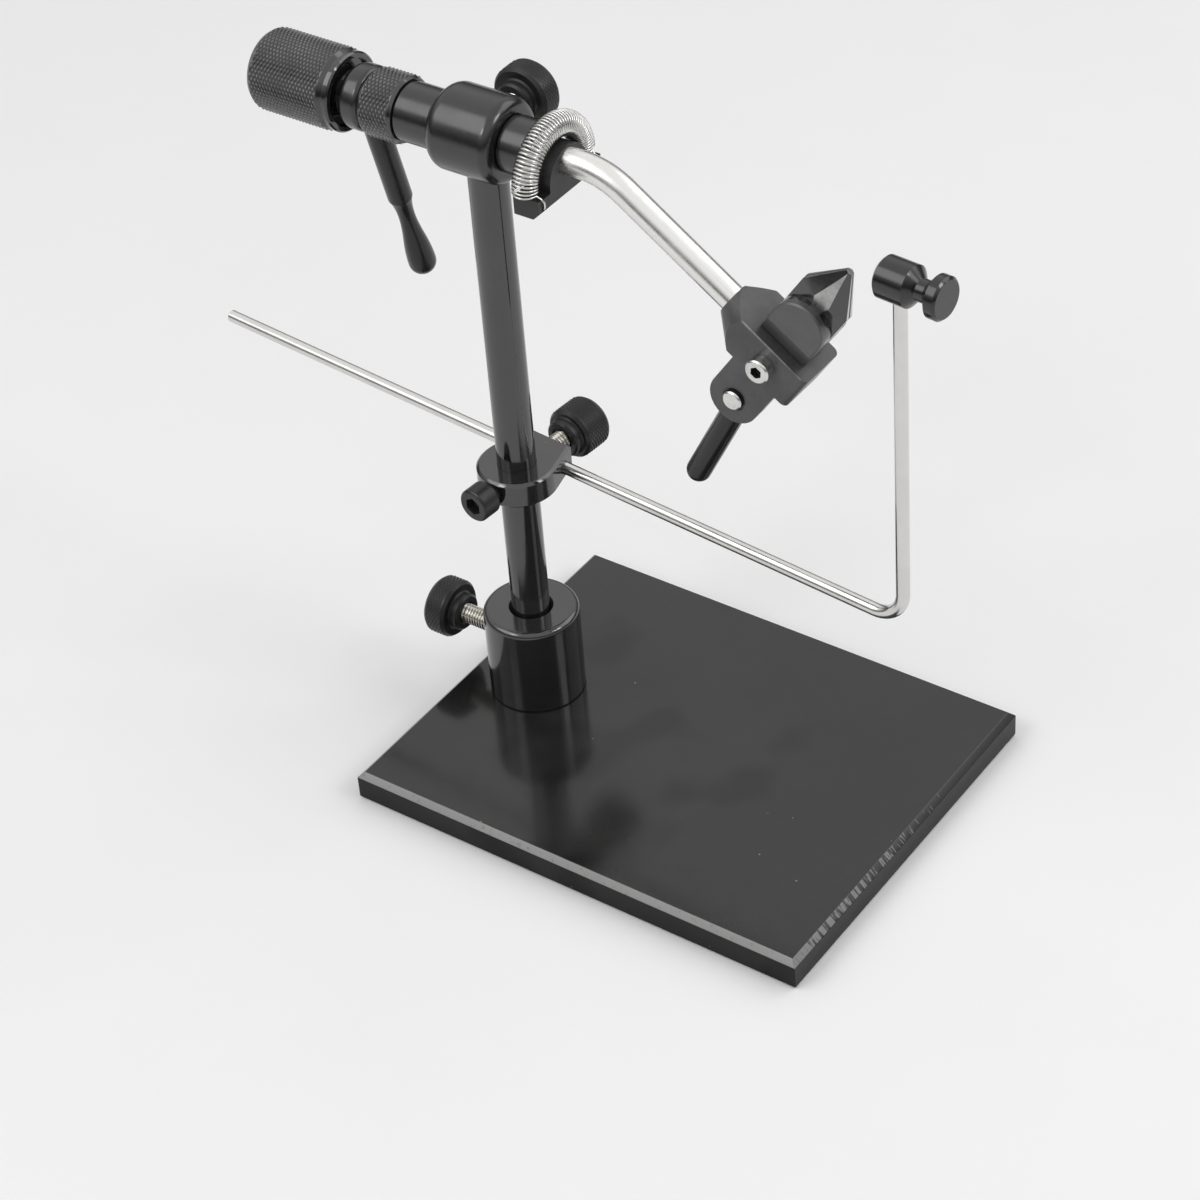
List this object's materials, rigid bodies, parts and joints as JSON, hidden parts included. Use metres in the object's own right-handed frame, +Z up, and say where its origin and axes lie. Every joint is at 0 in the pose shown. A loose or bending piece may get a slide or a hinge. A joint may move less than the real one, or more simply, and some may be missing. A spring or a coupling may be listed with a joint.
{
  "type": "fly tying vise",
  "caption": "Rotary fly tying vise on a flat pedestal base, with a lever-cammed jaw head on a bent spine, a crank, a material spring and a sliding thread cradle.",
  "frame": {"origin": "on the stem axis, at the underside of the base plate", "axes": "+X along the rotary axis towards the jaws, +Y away from the side with the jaw screw, +Z up"},
  "size_m": [0.2246, 0.102, 0.1784],
  "materials": {
    "plate_paint": "gloss black enamel on steel",
    "gloss_black": "gloss black finish on turned steel",
    "satin_black": "satin black finish on steel",
    "jaw_black": "polished black oxide on hardened steel",
    "knurled_black": "black finish over a fine knurl",
    "zinc_steel": "bright zinc plate",
    "bright_steel": "bright polished steel",
    "satin_stainless": "satin stainless rod",
    "bronze": "oiled bronze",
    "pad_nylon": "white nylon"
  },
  "bodies": {
    "base": {"base_plate": "plate_paint", "base_socket": "gloss_black", "base_fixing_screw": "zinc_steel"},
    "socket_screw": {"socket_stud": "zinc_steel"},
    "socket_knob": {"socket_thumb_knob": "knurled_black"},
    "column": {"stem": "gloss_black", "head_housing": "gloss_black", "rear_bush": "bronze", "front_bush": "bronze"},
    "drag_screw": {"drag_stud": "zinc_steel", "drag_pad": "pad_nylon"},
    "drag_knob": {"drag_thumb_knob": "knurled_black"},
    "head": {"rotary_shaft": "gloss_black", "rear_sleeve": "gloss_black", "lock_ring": "knurled_black", "crank_hub": "gloss_black", "crank_lever": "satin_black", "rear_knob": "knurled_black", "spine_rod": "satin_stainless", "clip_block": "satin_black", "material_spring": "bright_steel", "jaw_holder": "satin_black", "jaw_screw": "bright_steel", "lever_pin": "bright_steel"},
    "lever": {"cam_lever": "satin_black"},
    "jaw_near": {"near_jaw": "jaw_black"},
    "jaw_far": {"far_jaw": "jaw_black"},
    "collar": {"cradle_collar": "gloss_black", "collar_lock_screw": "satin_black"},
    "cradle_screw": {"cradle_stud": "zinc_steel"},
    "cradle_knob": {"cradle_thumb_knob": "knurled_black"},
    "cradle": {"cradle_rod": "bright_steel", "bobbin_rest": "satin_black"}
  },
  "joints": [
    {"name": "stem_swivel", "type": "hinge", "parent": "base", "child": "column", "pos_m": [0, 0, 0.1], "axis": [0, 0, 1], "continuous": true},
    {"name": "head_rotation", "type": "hinge", "parent": "column", "child": "head", "pos_m": [0, 0, 0.1682], "axis": [1, 0, 0], "continuous": true},
    {"name": "lever_swing", "type": "hinge", "parent": "head", "child": "lever", "pos_m": [0.06865, 0, 0.12455], "axis": [0, 1, 0], "range_deg": [0, 80]},
    {"name": "near_jaw_pivot", "type": "hinge", "parent": "head", "child": "jaw_near", "pos_m": [0.07675, 0, 0.13621], "axis": [0.8211, 0, -0.5707], "range_deg": [0, 1.2]},
    {"name": "far_jaw_pivot", "type": "hinge", "parent": "head", "child": "jaw_far", "pos_m": [0.07675, 0, 0.13621], "axis": [0.8211, 0, -0.5707], "range_deg": [-1.2, 0]},
    {"name": "collar_slide", "type": "slide", "parent": "column", "child": "collar", "axis": [0, 0, 1], "range_m": [-0.025, 0.012]},
    {"name": "cradle_slide", "type": "slide", "parent": "collar", "child": "cradle", "axis": [0.9959, -0.0906, 0], "range_m": [-0.006, 0.07]},
    {"name": "socket_screw_travel", "type": "slide", "parent": "base", "child": "socket_screw", "axis": [-1, 0, 0], "range_m": [0, 0.0016]},
    {"name": "socket_knob_turn", "type": "hinge", "parent": "socket_screw", "child": "socket_knob", "pos_m": [-0.03, 0, 0.0218], "axis": [-1, 0, 0], "range_deg": [0, 720]},
    {"name": "drag_screw_travel", "type": "slide", "parent": "column", "child": "drag_screw", "axis": [0, 1, 0], "range_m": [0, 0.0016]},
    {"name": "drag_knob_turn", "type": "hinge", "parent": "drag_screw", "child": "drag_knob", "pos_m": [-0.002, 0.02, 0.1682], "axis": [0, 1, 0], "range_deg": [0, 720]},
    {"name": "cradle_screw_travel", "type": "slide", "parent": "collar", "child": "cradle_screw", "axis": [0.0906, 0.9959, 0], "range_m": [0, 0.0016]},
    {"name": "cradle_knob_turn", "type": "hinge", "parent": "cradle_screw", "child": "cradle_knob", "pos_m": [0.00181, 0.01992, 0.07385], "axis": [0.0906, 0.9959, 0], "range_deg": [0, 720]}
  ],
  "couplings": [
    {"joint": "near_jaw_pivot", "follows": "lever_swing", "ratio": 0.015},
    {"joint": "far_jaw_pivot", "follows": "lever_swing", "ratio": -0.015},
    {"joint": "socket_screw_travel", "follows": "socket_knob_turn", "m_per_rad": 0.00012732},
    {"joint": "drag_screw_travel", "follows": "drag_knob_turn", "m_per_rad": 0.00012732},
    {"joint": "cradle_screw_travel", "follows": "cradle_knob_turn", "m_per_rad": 0.00012732}
  ]
}
